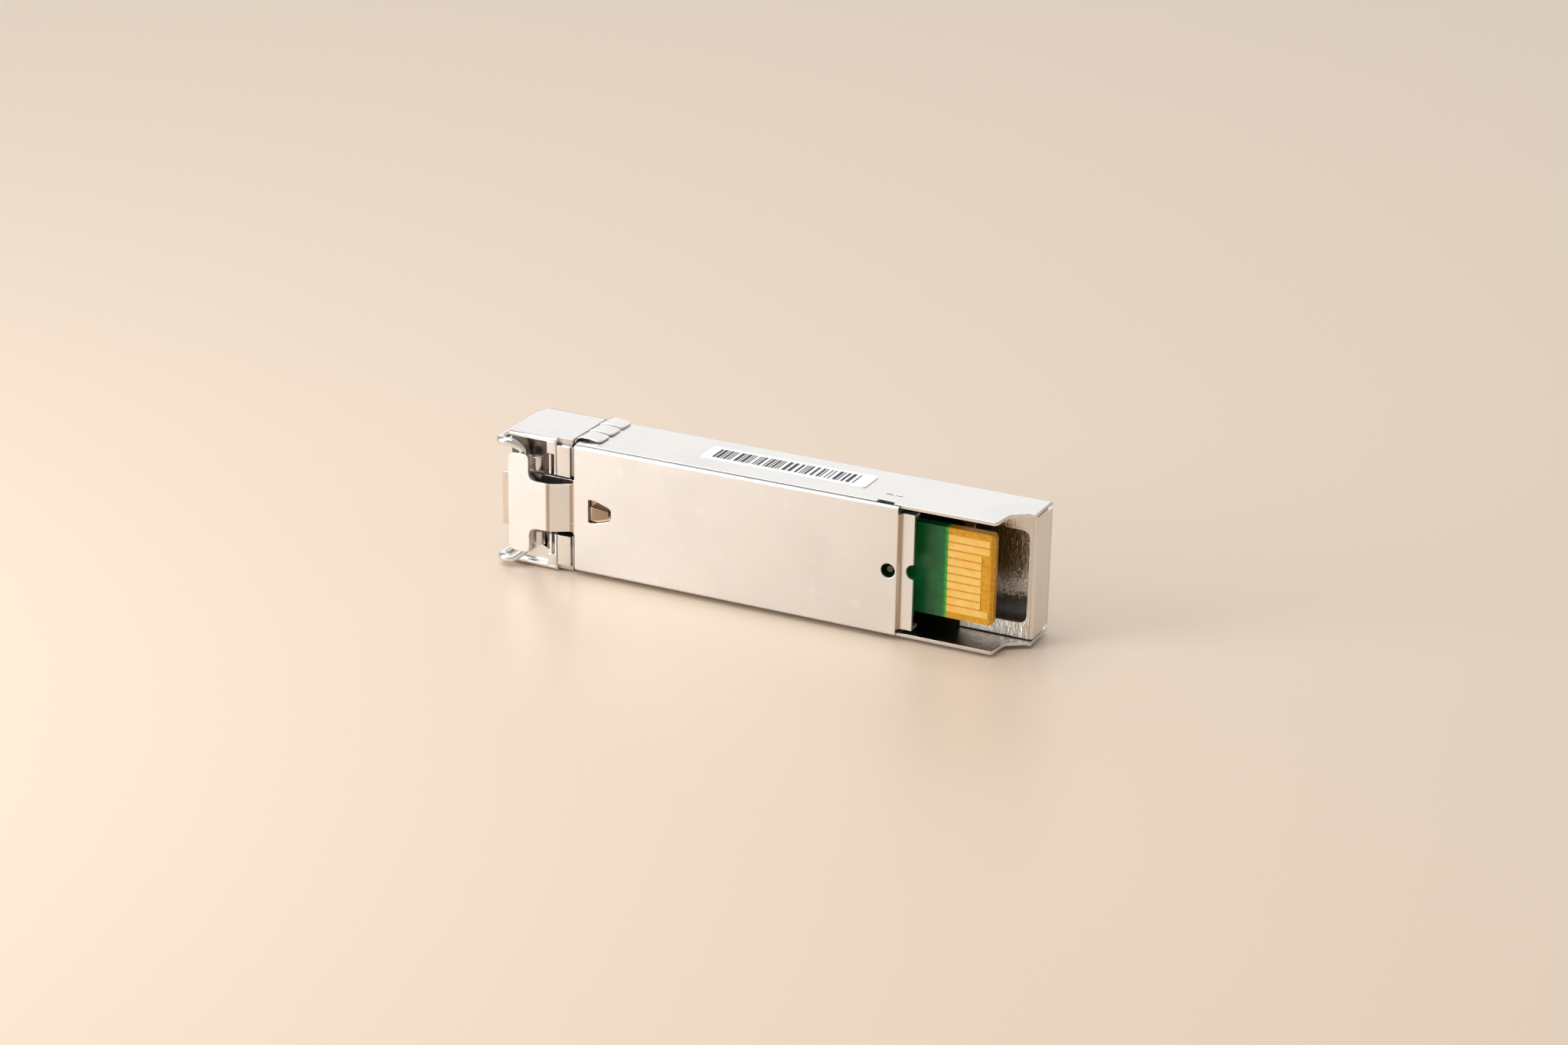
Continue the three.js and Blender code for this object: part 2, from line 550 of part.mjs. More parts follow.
// Bail: one bent wire. The middle of its lower run is a crank that presses the lever when the bail swings
// down. Its two ends meet in the middle of the handle.
function bail() {
  const crankZ = LEVER_WIDTH / 2 - 0.7;
  const side = (s) => [
    [BAIL_ARM_X, BAIL_HANDLE_Y, s * BAIL_ARM_Z, 1.2],
    [BAIL_ARM_X, BAIL_FOOT_Y, s * BAIL_ARM_Z, 0.7],
    [BAIL_PIVOT_X - 1, BAIL_FOOT_Y, s * BAIL_ARM_Z, 0.35],
    [BAIL_PIVOT_X, BAIL_PIVOT_Y, s * (BAIL_ARM_Z - 0.75), 0.35],
    [BAIL_PIVOT_X, BAIL_PIVOT_Y, s * (crankZ + 0.9), 0.3],
    [BAIL_PIVOT_X + BAIL_CRANK, BAIL_PIVOT_Y, s * crankZ, 0.3],
  ];
  const end = (z) => [BAIL_ARM_X, BAIL_HANDLE_Y, z];
  const points = [end(TOUCH), ...side(1), ...side(-1).reverse(), end(-TOUCH)];
  return wire(wirePath(points), WIRE_R, 150, 8);
}

// Latch lever: a stamped rocker. Its wedge-shaped post stands in the cover's hole, its front end hooks round
// the bail and shows in front of the T, and its two rear ears ride on the pin.
function latchLever() {
  const inner = LEVER_Y + LEVER_SHEET;
  const half = LEVER_WIDTH / 2;
  const [wallFront, wallBack] = [LEVER_WALL_X - 0.3, LEVER_WALL_X + 0.1];
  const tailX = LEVER_PIVOT_X + EAR_HALF;
  const tipX = BAR_FRONT_X - LEVER_TIP_LENGTH;
  const edge = polygon([
    [tailX, LEVER_Y], [tailX, inner], [wallFront, inner], [wallFront, LEVER_TIP_Y + LEVER_SHEET],
    [tipX, LEVER_TIP_Y + LEVER_SHEET], [tipX, LEVER_TIP_Y], [wallBack, LEVER_TIP_Y], [wallBack, LEVER_Y],
  ]);
  let lever = prism(edge, "z", -half, half);

  const forkHalf = half - 0.8;
  const earFront = LEVER_PIVOT_X - EAR_HALF;
  const earFar = LEVER_PIVOT_Y + EAR_HALF - 0.05;
  const forkFront = earFront - 0.35;
  lever = lever.subtract(box(forkFront, tailX + PAST, LEVER_Y - PAST, earFar + PAST, -forkHalf, forkHalf));
  const ear = rounded([
    [earFront, inner - LAP], [tailX, inner - LAP], [tailX, earFar, 0.5], [earFront, earFar, 0.5],
  ]);
  for (const side of SIDES) lever = lever.add(prism(ear, "z", ...span(side, half - LEVER_SHEET, half)));
  const hole = [LEVER_PIVOT_X, LEVER_PIVOT_Y, 0];
  lever = lever.subtract(rod("z", LEVER_PIN_R + 0.05, -half - PAST, half + PAST, hole, 16));

  // the post: square towards the front, where the cage holds it, and sloped towards the rear
  const postHalf = POST_WIDTH / 2;
  const rootY = LEVER_Y + LAP;
  const plan = rounded([
    [0, -postHalf, 0.1], [POST_LENGTH, -0.35, 0.2], [POST_LENGTH, 0.35, 0.2], [0, postHalf, 0.1],
  ]);
  const ramp = polygon([
    [-PAST, rootY], [-PAST, -POST_HEIGHT], [POST_LENGTH * 0.4, -POST_HEIGHT],
    [POST_LENGTH + 0.25, LEVER_Y - 0.35], [POST_LENGTH + 0.25, rootY],
  ]);
  const post = prism(plan, "y", -PAST, rootY, 3).intersect(prism(ramp, "z", -POST_WIDTH, POST_WIDTH));
  return lever.add(post);
}

// Latch spring: a torsion spring on the lever's pin. Its long leg lies behind the lever's strip and its foot
// stands on the cover.
function latchSpring() {
  const coilR = SPRING_COIL_R;
  const turns = 5;
  const pitch = 0.5;
  const z0 = -1.4;
  const points = [];
  const legX = LEVER_PIVOT_X - 3.2;
  const legY = LEVER_Y + LEVER_SHEET + 0.35;
  for (const t of [0, 0.5]) {
    const x = legX + t * (LEVER_PIVOT_X - legX);
    points.push(new THREE.Vector3(x, legY + t * (LEVER_PIVOT_Y + coilR - legY), z0));
  }
  const perTurn = 10;
  const last = Math.round((turns + 0.25) * perTurn);
  for (let i = 0; i <= last; i += 1) {
    const angle = Math.PI / 2 - (i / perTurn) * 2 * Math.PI;
    const x = LEVER_PIVOT_X + coilR * Math.cos(angle);
    points.push(new THREE.Vector3(x, LEVER_PIVOT_Y + coilR * Math.sin(angle), z0 + (i / perTurn) * pitch));
  }
  const end = points[points.length - 1];
  points.push(new THREE.Vector3(end.x, SHEET + SPRING_WIRE_R + 0.06, end.z + 0.05));
  return wire(new THREE.CatmullRomCurve3(points), SPRING_WIRE_R, 96, 3);
}

part("bail", bail(), ...SPRING_STEEL);
part("latch_lever", latchLever(), 0xd8c3a4, 1, 0.35);
part("latch_spring", latchSpring(), ...SPRING_STEEL);
const pinHalf = CAVITY_HALF + 0.55; // the pin ends just inside the arms' outer faces
part("lever_pin", rod("z", LEVER_PIN_R, -pinHalf, pinHalf, [LEVER_PIVOT_X, LEVER_PIVOT_Y, 0], 16), ...STEEL);

// ---- optical sub-assemblies ---------------------------------------------------------------------------

function barrel(z) {
  const sleeveR = FERRULE_R + 0.3;
  const boreR = 0.35;
  const boreX = 0.3;
  const flangeR = HEADER_R - 0.1;
  return turned([
    [FLANGE_BACK_X, boreR], [boreX, boreR], [boreX, sleeveR], [BARREL_TIP_X, sleeveR],
    [BARREL_TIP_X, BARREL_R - 0.2], [BARREL_TIP_X + 0.2, BARREL_R], [FLANGE_X, BARREL_R],
    [FLANGE_X, flangeR], [FLANGE_BACK_X, flangeR], [FLANGE_BACK_X, boreR],
  ], AXIS_Y, z);
}

// Split sleeve of zirconia that lines up the plug's ferrule inside the barrel.
function splitSleeve(z) {
  const outer = FERRULE_R + 0.26;
  const slit = 0.12;
  const ring = new THREE.Shape();
  ring.absarc(AXIS_Y, z, outer, slit, 2 * Math.PI - slit);
  ring.absarc(AXIS_Y, z, FERRULE_R, 2 * Math.PI - slit, slit, true);
  return prism(ring, "x", BARREL_TIP_X + 0.5, 0.2, 8);
}

// Metal can with the laser or the photodiode, with its header and four leads.
function can(z) {
  const recess = [CAN_X + 1, 0.5];
  let body = turned([
    [recess[0], 0], recess, [CAN_X, recess[1]], [CAN_X, CAN_R - 0.25], [CAN_X + 0.25, CAN_R],
    [HEADER_X, CAN_R], [HEADER_X, HEADER_R], [HEADER_BACK_X, HEADER_R], [HEADER_BACK_X, 0],
  ], AXIS_Y, z);
  const leadX = [HEADER_BACK_X - LAP, HEADER_BACK_X + LEAD_LENGTH];
  for (const sy of SIDES) {
    for (const sz of SIDES) {
      const centre = [0, AXIS_Y + sy * LEAD_OFFSET, z + sz * LEAD_OFFSET];
      body = body.add(rod("x", LEAD_R, ...leadX, centre, 8));
    }
  }
  return body;
}

// Flex circuit from a can's leads down to the board.
function flex(z) {
  const standX = HEADER_BACK_X + LEAD_LENGTH + 0.05;
  const restY = BOARD_FAR_Y + TOUCH;
  const bend = 0.6;
  const endX = BOARD_FRONT_X + 2;
  const edge = rounded([
    [standX, AXIS_Y + FLEX_HALF], [standX, restY, bend], [endX, restY], [endX, restY + FLEX_THICK],
    [standX + FLEX_THICK, restY + FLEX_THICK, bend - FLEX_THICK], [standX + FLEX_THICK, AXIS_Y + FLEX_HALF],
  ]);
  return prism(edge, "z", z - FLEX_HALF, z + FLEX_HALF);
}

for (const [name, side] of [["transmitter", -1], ["receiver", 1]]) {
  const z = side * PORT_Z;
  part(`${name}_barrel`, barrel(z), ...STEEL);
  part(`${name}_sleeve`, splitSleeve(z), 0xf4f2ec, 0, 0.35);
  part(`${name}_can`, can(z), ...GOLD);
  part(`${name}_flex`, flex(z), 0xb8752a, 0, 0.4);
}

// Clamp plate behind the barrels' flanges.
function opticsClamp() {
  const x0 = CAN_X + 0.5;
  const cutX = [x0 - PAST, x0 + PAST];
  const reach = HALF_INSIDE - FIT - 0.05;
  const nearY = 1.8;
  let plate = prism(roundedBox2(nearY, FAR_INSIDE_Y - FIT, -reach, reach, 0.5), "x", x0, x0 + CLAMP_THICK);
  for (const side of SIDES) {
    plate = plate.subtract(rod("x", CAN_R + TOUCH, ...cutX, [0, AXIS_Y, side * PORT_Z], 24));
    const flange = span(side, COVER_HALF - SHEET - FIT, COVER_HALF + PAST);
    plate = plate.subtract(box(...cutX, nearY - PAST, COVER_FLANGE + SHEET + 0.25, ...flange));
  }
  return plate;
}

part("optics_clamp", opticsClamp(), ...STEEL);

// ---- circuit board and what it carries ----------------------------------------------------------------

function circuitBoard() {
  const wide = BOARD_HALF;
  const narrow = BOARD_EDGE_WIDTH / 2;
  const outline = rounded([
    [BOARD_FRONT_X, -wide, 0.3], [BOARD_NECK_X, -wide, 0.4], [BOARD_NECK_X, -narrow, 0.4],
    [BOARD_END_X, -narrow, 0.5], [BOARD_END_X, narrow, 0.5], [BOARD_NECK_X, narrow, 0.4],
    [BOARD_NECK_X, wide, 0.4], [BOARD_FRONT_X, wide, 0.3],
  ]);
  const bevelX = BOARD_END_X - 0.35;
  const edge = polygon([
    [BOARD_FRONT_X, BOARD_Y], [bevelX, BOARD_Y], [BOARD_END_X, BOARD_Y + BOARD_BEVEL],
    [BOARD_END_X, BOARD_FAR_Y - BOARD_BEVEL], [bevelX, BOARD_FAR_Y], [BOARD_FRONT_X, BOARD_FAR_Y],
  ]);
  const board = prism(outline, "y", BOARD_Y, BOARD_FAR_Y, 4).intersect(prism(edge, "z", -wide, wide));
  const hole = rod("y", STANDOFF_PIN_R + TOUCH, BOARD_Y - PAST, BOARD_FAR_Y + PAST, [STANDOFF_X, 0, 0], 20);
  return board.subtract(hole);
}

// Turned standoff on the shell's far wall. Its pin passes through the board and shows in the cover's hole.
function boardStandoff() {
  const tipY = SHEET + RUN;
  const seatY = BOARD_FAR_Y + TOUCH;
  const footY = FAR_INSIDE_Y - TOUCH;
  const profile = [
    [0, tipY], [STANDOFF_PIN_R - 0.2, tipY], [STANDOFF_PIN_R, tipY + 0.2], [STANDOFF_PIN_R, seatY],
    [STANDOFF_R, seatY], [STANDOFF_R, footY], [0, footY],
  ];
  const geometry = new THREE.LatheGeometry(profile.map(([r, y]) => new THREE.Vector2(r, y)), 20);
  geometry.translate(STANDOFF_X, 0, 0);
  return solid(geometry);
}

part("circuit_board", circuitBoard(), ...SOLDER_MASK);
part("board_standoff", boardStandoff(), ...STEEL);

const LONG_NEAR = [0, 8, 9]; // grounds and supply on the near face, counted from the lower edge
const LONG_FAR = [0, 3, 6, 9];
for (let i = 0; i < PAD_COUNT; i += 1) {
  const z = (i - (PAD_COUNT - 1) / 2) * PAD_PITCH;
  const number = String(i + 1).padStart(2, "0");
  const faces = [["near", LONG_NEAR, BOARD_Y - PAD_THICK], ["far", LONG_FAR, BOARD_FAR_Y]];
  for (const [face, long, y] of faces) {
    const end = BOARD_END_X - (long.includes(i) ? PAD_LONG_GAP : PAD_SHORT_GAP);
    const pad = box(BOARD_END_X - PAD_REACH, end, y, y + PAD_THICK, z - PAD_WIDTH / 2, z + PAD_WIDTH / 2);
    part(`contact_${face}_${number}`, pad, ...GOLD);
  }
}

// A part on the far face (height > 0) or on the near face (height < 0) of the board.
function mounted(name, x, z, length, width, height, color, metalness, roughness) {
  const y0 = height > 0 ? BOARD_FAR_Y + TOUCH : BOARD_Y - TOUCH + height;
  const r = Math.min(length, width) * 0.08;
  const outline = roundedBox2(x - length / 2, x + length / 2, z - width / 2, z + width / 2, r);
  part(name, prism(outline, "y", y0, y0 + Math.abs(height), 2), color, metalness, roughness);
}

const driverX = BOARD_FRONT_X + 6.5;
mounted("laser_driver_chip", driverX, -2.8, 4, 4, 0.9, ...BLACK_RESIN);
mounted("amplifier_chip", driverX, 2.8, 3, 3, 0.9, ...BLACK_RESIN);
mounted("controller_chip", STANDOFF_X - 7.05, 0, 5, 5, 1, ...BLACK_RESIN);
mounted("memory_chip", BOARD_FRONT_X + 11, 1, 3, 4.4, -1.1, ...BLACK_RESIN);
const capacitorX = BOARD_FRONT_X + 3;
const capacitorPitch = (BOARD_NECK_X - 5 - capacitorX) / 2;
for (let i = 0; i < 3; i += 1) {
  for (const side of SIDES) {
    const name = `capacitor_${i * 2 + (side > 0 ? 2 : 1)}`;
    mounted(name, capacitorX + i * capacitorPitch, side * (BOARD_HALF - 1), 1.6, 0.8, 0.8, 0xb79a78, 0, 0.5);
  }
}
const inductorX = BOARD_NECK_X + 1.2;
mounted("inductor_1", inductorX, -2.6, 2, 1.25, 1.2, 0x4a4a4e, 0.2, 0.5);
mounted("inductor_2", inductorX, 2.6, 2, 1.25, 1.2, 0x4a4a4e, 0.2, 0.5);

// Printed label on the upper narrow side.
const labelOutline = roundedBox2(LABEL_X, LABEL_X + LABEL_LENGTH, LABEL_Y, LABEL_Y + LABEL_HEIGHT, 0.45);
const labelZ = HALF + 0.005; // a film of glue
part("barcode_label", prism(labelOutline, "z", labelZ, labelZ + LABEL_THICK, 4), 0xfafaf8, 0, 0.6);

// ---- place the origin under the middle of the module --------------------------------------------------

const bounds = new THREE.Box3().setFromObject(module);
const centre = bounds.getCenter(new THREE.Vector3());
module.position.set(-centre.x, -centre.y, -bounds.min.z);

export default module;
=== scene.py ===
import math
import random

import bmesh
import bpy
from mathutils import Matrix, Vector
from mathutils.bvhtree import BVHTree


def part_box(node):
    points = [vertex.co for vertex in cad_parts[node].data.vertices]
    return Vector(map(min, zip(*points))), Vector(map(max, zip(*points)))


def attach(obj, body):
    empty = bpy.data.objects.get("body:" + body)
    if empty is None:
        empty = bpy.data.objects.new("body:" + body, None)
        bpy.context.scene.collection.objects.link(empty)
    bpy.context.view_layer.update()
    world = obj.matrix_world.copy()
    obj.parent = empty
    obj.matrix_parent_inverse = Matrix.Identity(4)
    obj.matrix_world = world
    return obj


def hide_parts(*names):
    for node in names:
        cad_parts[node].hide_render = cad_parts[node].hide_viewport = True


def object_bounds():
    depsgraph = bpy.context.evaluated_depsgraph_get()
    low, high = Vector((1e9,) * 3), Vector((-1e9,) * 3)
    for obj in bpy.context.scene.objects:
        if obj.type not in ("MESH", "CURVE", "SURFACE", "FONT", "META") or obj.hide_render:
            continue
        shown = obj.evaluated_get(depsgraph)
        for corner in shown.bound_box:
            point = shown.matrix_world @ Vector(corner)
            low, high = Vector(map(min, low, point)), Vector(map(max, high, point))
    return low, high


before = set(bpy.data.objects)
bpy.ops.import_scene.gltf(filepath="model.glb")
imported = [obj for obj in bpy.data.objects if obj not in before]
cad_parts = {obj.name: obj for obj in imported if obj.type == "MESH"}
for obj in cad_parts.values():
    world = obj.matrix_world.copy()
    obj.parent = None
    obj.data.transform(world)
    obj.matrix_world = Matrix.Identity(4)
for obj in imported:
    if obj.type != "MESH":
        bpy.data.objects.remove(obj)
cad_low, cad_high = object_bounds()

# ---- camera -------------------------------------------------------------------------------------------
# A long lens looks down at the latch face from the right, with the module filling the middle of the frame.
camera_data = bpy.data.cameras.new("camera")
camera_data.lens = 78.92
camera_data.sensor_width = 36
camera = bpy.data.objects.new("camera", camera_data)
bpy.context.scene.collection.objects.link(camera)
bpy.context.scene.camera = camera

camera_azimuth = math.radians(25.558)
camera_elevation = math.radians(21.653)
camera_roll = math.radians(0.994)
camera_distance = 0.33363
camera_target = (cad_low + cad_high) / 2 + Vector((0.00158, 0.0005, 0.00099))

away = Vector((
    math.sin(camera_azimuth) * math.cos(camera_elevation),
    -math.cos(camera_azimuth) * math.cos(camera_elevation),
    math.sin(camera_elevation),
))
right = Vector((math.cos(camera_azimuth), math.sin(camera_azimuth), 0))
up = away.cross(right)
rolled_right = right * math.cos(camera_roll) + up * math.sin(camera_roll)
rolled_up = up * math.cos(camera_roll) - right * math.sin(camera_roll)
turn = Matrix((rolled_right, rolled_up, away)).transposed().to_4x4()
camera.matrix_world = Matrix.Translation(camera_target + away * camera_distance) @ turn

# ---- light --------------------------------------------------------------------------------------------
# Soft studio light: a dim surround, a wide panel behind that the upper narrow side mirrors, one overhead, and
# a low one at the front left that brightens the latch end.
world = bpy.data.worlds.new("surround")
bpy.context.scene.world = world
world.use_nodes = True
surround = world.node_tree.nodes["Background"]
surround.inputs["Color"].default_value = (0.96, 0.97, 1, 1)
surround.inputs["Strength"].default_value = 0.45
bpy.context.scene.view_settings.view_transform = "Standard"


def panel(name, place, size, brightness, color):
    """A soft rectangular lamp that faces the module; brightness is what a mirror of it would show."""
    data = bpy.data.lights.new(name, "AREA")
    data.shape = "RECTANGLE"
    data.size, data.size_y = size
    data.energy = brightness * math.pi * size[0] * size[1]
    data.color = color
    light = bpy.data.objects.new(name, data)
    bpy.context.scene.collection.objects.link(light)
    light.location = place
    light.visible_camera = False
    light.rotation_euler = (-Vector(place)).to_track_quat("-Z", "Y").to_euler()


panel("back_panel", (-0.5, 0.9, 0.42), (1.3, 0.7), 0.66, (1, 0.985, 0.96))
panel("overhead_panel", (-0.12, -0.05, 0.7), (0.6, 0.5), 2.6, (1, 0.99, 0.97))
panel("front_panel", (-0.27, -0.22, 0.07), (0.16, 0.1), 12.0, (0.93, 0.96, 1))
panel("latch_panel", (-0.13, -0.13, 0.13), (0.1, 0.1), 4.5, (0.95, 0.97, 1))

# ---- bench --------------------------------------------------------------------------------------------
# A plain warm bench top under the module. It is wide enough to fill the view from any side, and it is not
# part of the module.
BENCH_SIZE = 6  # metres
bench_mesh = bpy.data.meshes.new("bench")
bm = bmesh.new()
bmesh.ops.create_grid(bm, x_segments=1, y_segments=1, size=BENCH_SIZE / 2)
bm.to_mesh(bench_mesh)
bm.free()
bench = bpy.data.objects.new("bench", bench_mesh)
bpy.context.scene.collection.objects.link(bench)
bench_paint = bpy.data.materials.new("bench_paint")
bench_paint.use_nodes = True
bench_shader = bench_paint.node_tree.nodes["Principled BSDF"]
bench_shader.inputs["Base Color"].default_value = (0.76, 0.61, 0.47, 1)
bench_shader.inputs["Roughness"].default_value = 0.38
bench_mesh.materials.append(bench_paint)

# ---- top shell ----------------------------------------------------------------------------------------
# One stamped channel of nickel-plated steel, 0.35 mm thick. It wraps the far face and both narrow sides, and
# at the rear it is folded up into a flap and forward again into a shoulder plate with a window.
MM = 0.001
SHEET = 0.35
BODY_LENGTH = 45  # latch shoulder to rear
BODY_DEPTH = 8.5

shell_low, shell_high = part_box("top_shell")
latch = Vector((
    shell_high.x - BODY_LENGTH * MM, shell_high.y - BODY_DEPTH * MM, (shell_low.z + shell_high.z) / 2,
))


def measured(node):
    """A CAD node's lowest and highest corners in millimetres from the latch shoulder."""
    return [(corner - latch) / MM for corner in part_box(node)]


class Signal:
    """A socket of a material's nodes. Arithmetic on it adds Math nodes, and node() adds any other node."""

    def __init__(self, tree, socket=None):
        self.tree = tree
        self.socket = socket

    def node(self, kind, settings, inputs, output=0):
        node = self.tree.nodes.new(kind)
        for name, value in settings.items():
            setattr(node, name, value)
        for name, value in inputs.items():
            if isinstance(value, Signal):
                self.tree.links.new(value.socket, node.inputs[name])
            else:
                node.inputs[name].default_value = value
        return Signal(self.tree, node.outputs[output])

    def math(self, operation, *values):
        return self.node("ShaderNodeMath", {"operation": operation}, dict(enumerate(values)))

    def __add__(self, other):
        return self.math("ADD", self, other)

    def __sub__(self, other):
        return self.math("SUBTRACT", self, other)

    def __rsub__(self, other):
        return self.math("SUBTRACT", other, self)

    def __mul__(self, other):
        return self.math("MULTIPLY", self, other)

    __radd__ = __add__
    __rmul__ = __mul__

    def step(self, low, high):
        """0 below low and 1 above high, with a smooth slope between."""
        inputs = {"Value": self, "From Min": low, "From Max": high, "To Min": 0.0, "To Max": 1.0}
        return self.node("ShaderNodeMapRange", {"interpolation_type": "SMOOTHSTEP"}, inputs)

    def tint(self, low, high):
        """Two colours, or colour signals, mixed by this signal."""
        settings = {"data_type": "RGBA"}
        ends = [end if isinstance(end, Signal) else (*end, 1) for end in (low, high)]
        return self.node("ShaderNodeMix", settings, {0: self, 6: ends[0], 7: ends[1]}, 2)

    def noise(self, stretch, scale, detail=2, roughness=0.5):
        """Noise in the object's own coordinates, in features per millimetre, stretched along each axis."""
        where = self.node("ShaderNodeTexCoord", {}, {}, 3)
        where = self.node("ShaderNodeMapping", {}, {"Vector": where, "Scale": stretch})
        inputs = {"Vector": where, "Scale": scale / MM, "Detail": detail, "Roughness": roughness}
        return self.node("ShaderNodeTexNoise", {}, inputs)

    def along(self, axis):
        """The place along one axis, in millimetres from the latch shoulder."""
        where = self.node("ShaderNodeTexCoord", {}, {}, 3)
        part = self.node("ShaderNodeSeparateXYZ", {}, {"Vector": where}, "XYZ".index(axis))
        return (part - latch["XYZ".index(axis)]) * (1 / MM)

    def bump(self, height, strength):
        """A bumped normal; height is in hundredths of a millimetre."""
        inputs = {"Height": self, "Distance": height * MM / 100, "Strength": strength}
        return self.node("ShaderNodeBump", {}, inputs)


def finish(name, **sockets):
    """A material whose Principled shader takes these values or signals. Underscores stand for spaces."""
    material = bpy.data.materials.new(name)
    material.use_nodes = True
    shader = material.node_tree.nodes["Principled BSDF"]
    start = Signal(material.node_tree)
    for socket, value in sockets.items():
        target = shader.inputs[socket.replace("_", " ")]
        if callable(value):
            value = value(start)
        if isinstance(value, Signal):
            material.node_tree.links.new(value.socket, target)
        else:
            target.default_value = (*value, 1) if isinstance(value, tuple) else value
    return material


EVEN = (1, 1, 1)  # noise that is not stretched
SCRATCH_ROUGHNESS = 0.08  # what a scratch adds


def satin(tint, smudge, grain, gloss):
    """The sockets of a satin plated metal: fine grain, cloudy smudges and a few faint scratches."""
    def color(start):
        clouds = start.noise(EVEN, scale=0.12, detail=3)
        return clouds.step(0.35, 0.7).tint(tint, tuple(c * (1 - smudge) for c in tint))

    def roughness(start):
        clouds = start.noise(EVEN, scale=0.2, detail=4, roughness=0.6)
        scratches = start.noise((0.12, 1, 1.6), scale=1.6).step(0.66, 0.72)
        return clouds * (2 * smudge) + scratches * SCRATCH_ROUGHNESS + (gloss - smudge)

    def normal(start):
        fine = start.noise(EVEN, scale=14, detail=3, roughness=0.65)
        lines = start.noise((0.05, 1, 1), scale=9)
        return (fine + lines).bump(grain, strength=0.6)

    return {"Base_Color": color, "Roughness": roughness, "Normal": normal, "Metallic": 1.0}


shell_steel = finish("shell_steel", **satin((0.84, 0.82, 0.79), 0.05, 0.12, 0.27))


def drawn_normal(start):
    """Rolled strip: coarse grains with streaks through them."""
    grains = start.noise(EVEN, scale=3.5, detail=3, roughness=0.7)
    streaks = start.noise((1, 0.22, 0.22), scale=4.5, detail=3, roughness=0.65)
    return (grains * 0.6 + streaks).bump(5, strength=1.0)


# the inner faces are glossier and more streaked than the outer ones, and darker in colour as painted shade
# for the hood's dim inside
shell_inside_painted_shade = finish(
    "shell_inside_painted_shade", Base_Color=(0.66, 0.62, 0.57), Metallic=1.0, Roughness=0.13, Normal=drawn_normal,
)

SHARP = math.radians(26)  # an edge that turns by more is rounded
CREASE = math.radians(35)  # an edge that turns by more stays sharp where nothing is rounded
FLAT = math.radians(0.6)  # triangles that turn by less are one flat face
WELD = 0.0005  # points closer than this are one point


def place(bm):
    """Moves a mesh from millimetres at the latch shoulder into the frame."""
    bmesh.ops.scale(bm, vec=Vector((MM, MM, MM)), verts=bm.verts)
    bmesh.ops.translate(bm, vec=latch, verts=bm.verts)


def round_over(bm, radius, segments):
    """Rounds the sharp edges, and lays points that a crowded corner throws off back on the solid."""
    solid = BVHTree.FromBMesh(bm)
    sharp = [edge for edge in bm.edges if edge.is_manifold and edge.calc_face_angle() > SHARP]
    bmesh.ops.bevel(bm, geom=sharp, affect="EDGES", offset=radius, segments=segments, profile=0.5,
                    material=-1, miter_outer="ARC")
    for vert in bm.verts:
        near, _, _, distance = solid.find_nearest(vert.co)
        if distance > radius / 2:
            vert.co = near


def piece(name, bm, material, body, stands_for=(), edge=0.0, segments=3):
    """Finishes a placed mesh as one piece: edge is the radius that its sharp edges are rounded to."""
    if edge:
        round_over(bm, edge * MM, segments)
    mesh = bpy.data.meshes.new(name)
    bm.to_mesh(mesh)
    bm.free()
    mesh.shade_smooth()
    mesh.materials.append(material)
    made = bpy.data.objects.new(name, mesh)
    bpy.context.scene.collection.objects.link(made)
    if not edge:
        mesh.set_sharp_from_angle(angle=CREASE)
    level = made.modifiers.new("level", "WEIGHTED_NORMAL")
    level.keep_sharp = True
    level.weight = 100
    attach(made, body)
    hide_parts(*stands_for)
    return made


def whole(node):
    """A CAD node's own shape with its loose triangles welded and its flat faces made whole again."""
    bm = bmesh.new()
    bm.from_mesh(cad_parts[node].data)
    bmesh.ops.remove_doubles(bm, verts=bm.verts, dist=WELD * MM)
    bmesh.ops.dissolve_limit(bm, angle_limit=FLAT, verts=bm.verts, edges=bm.edges)
    return bm


channel = whole("top_shell")
inset = Vector([SHEET * MM * 0.9] * 3)  # just less than the sheet, so the inner faces lie inside it
channel_low = shell_low + inset
channel_high = shell_high - inset
# the faces inside the channel take the second material, whose darker colour is painted shade
for face in channel.faces:
    spot = face.calc_center_median()
    inside = channel_low.z < spot.z < channel_high.z and spot.y < channel_high.y and spot.x < channel_high.x
    if inside and abs(face.normal.x) < 0.9:
        face.material_index = 1
channel_shell = piece("channel_shell", channel, shell_steel, "module", ["top_shell"],
                      edge=0.05)
channel_shell.data.materials.append(shell_inside_painted_shade)

# ---- bottom cover -------------------------------------------------------------------------------------
# A second stamping of the same sheet closes the latch face. Its flanges slip inside the shell, and its front
# tongue steps out over the nose and ends in a T that keeps the bail in its seat.
COVER_BEND_SHADES = (-4.45, -2.3, 32.95)  # where the painted-shade bands at the sheet's bends lie
BEND_SHADE_WIDTH = 0.3  # from the middle of a painted-shade band to where it has faded out
SCRATCH_STRETCHES = ((0.05, 1, 1.3), (1.1, 1, 0.06), (0.35, 1, 0.35))  # along, across, and patches
BEND_R = 0.45
BEND_ANGLES = (0.4, 1.2)  # radians
BEND_LENGTH = 4.5  # shorter edges are not bends
T_BEND_X = latch.x - 3 * MM  # the tongue bends into the T in front of this
cover_satin = satin((0.9, 0.89, 0.88), 0.06, 0.1, 0.34)


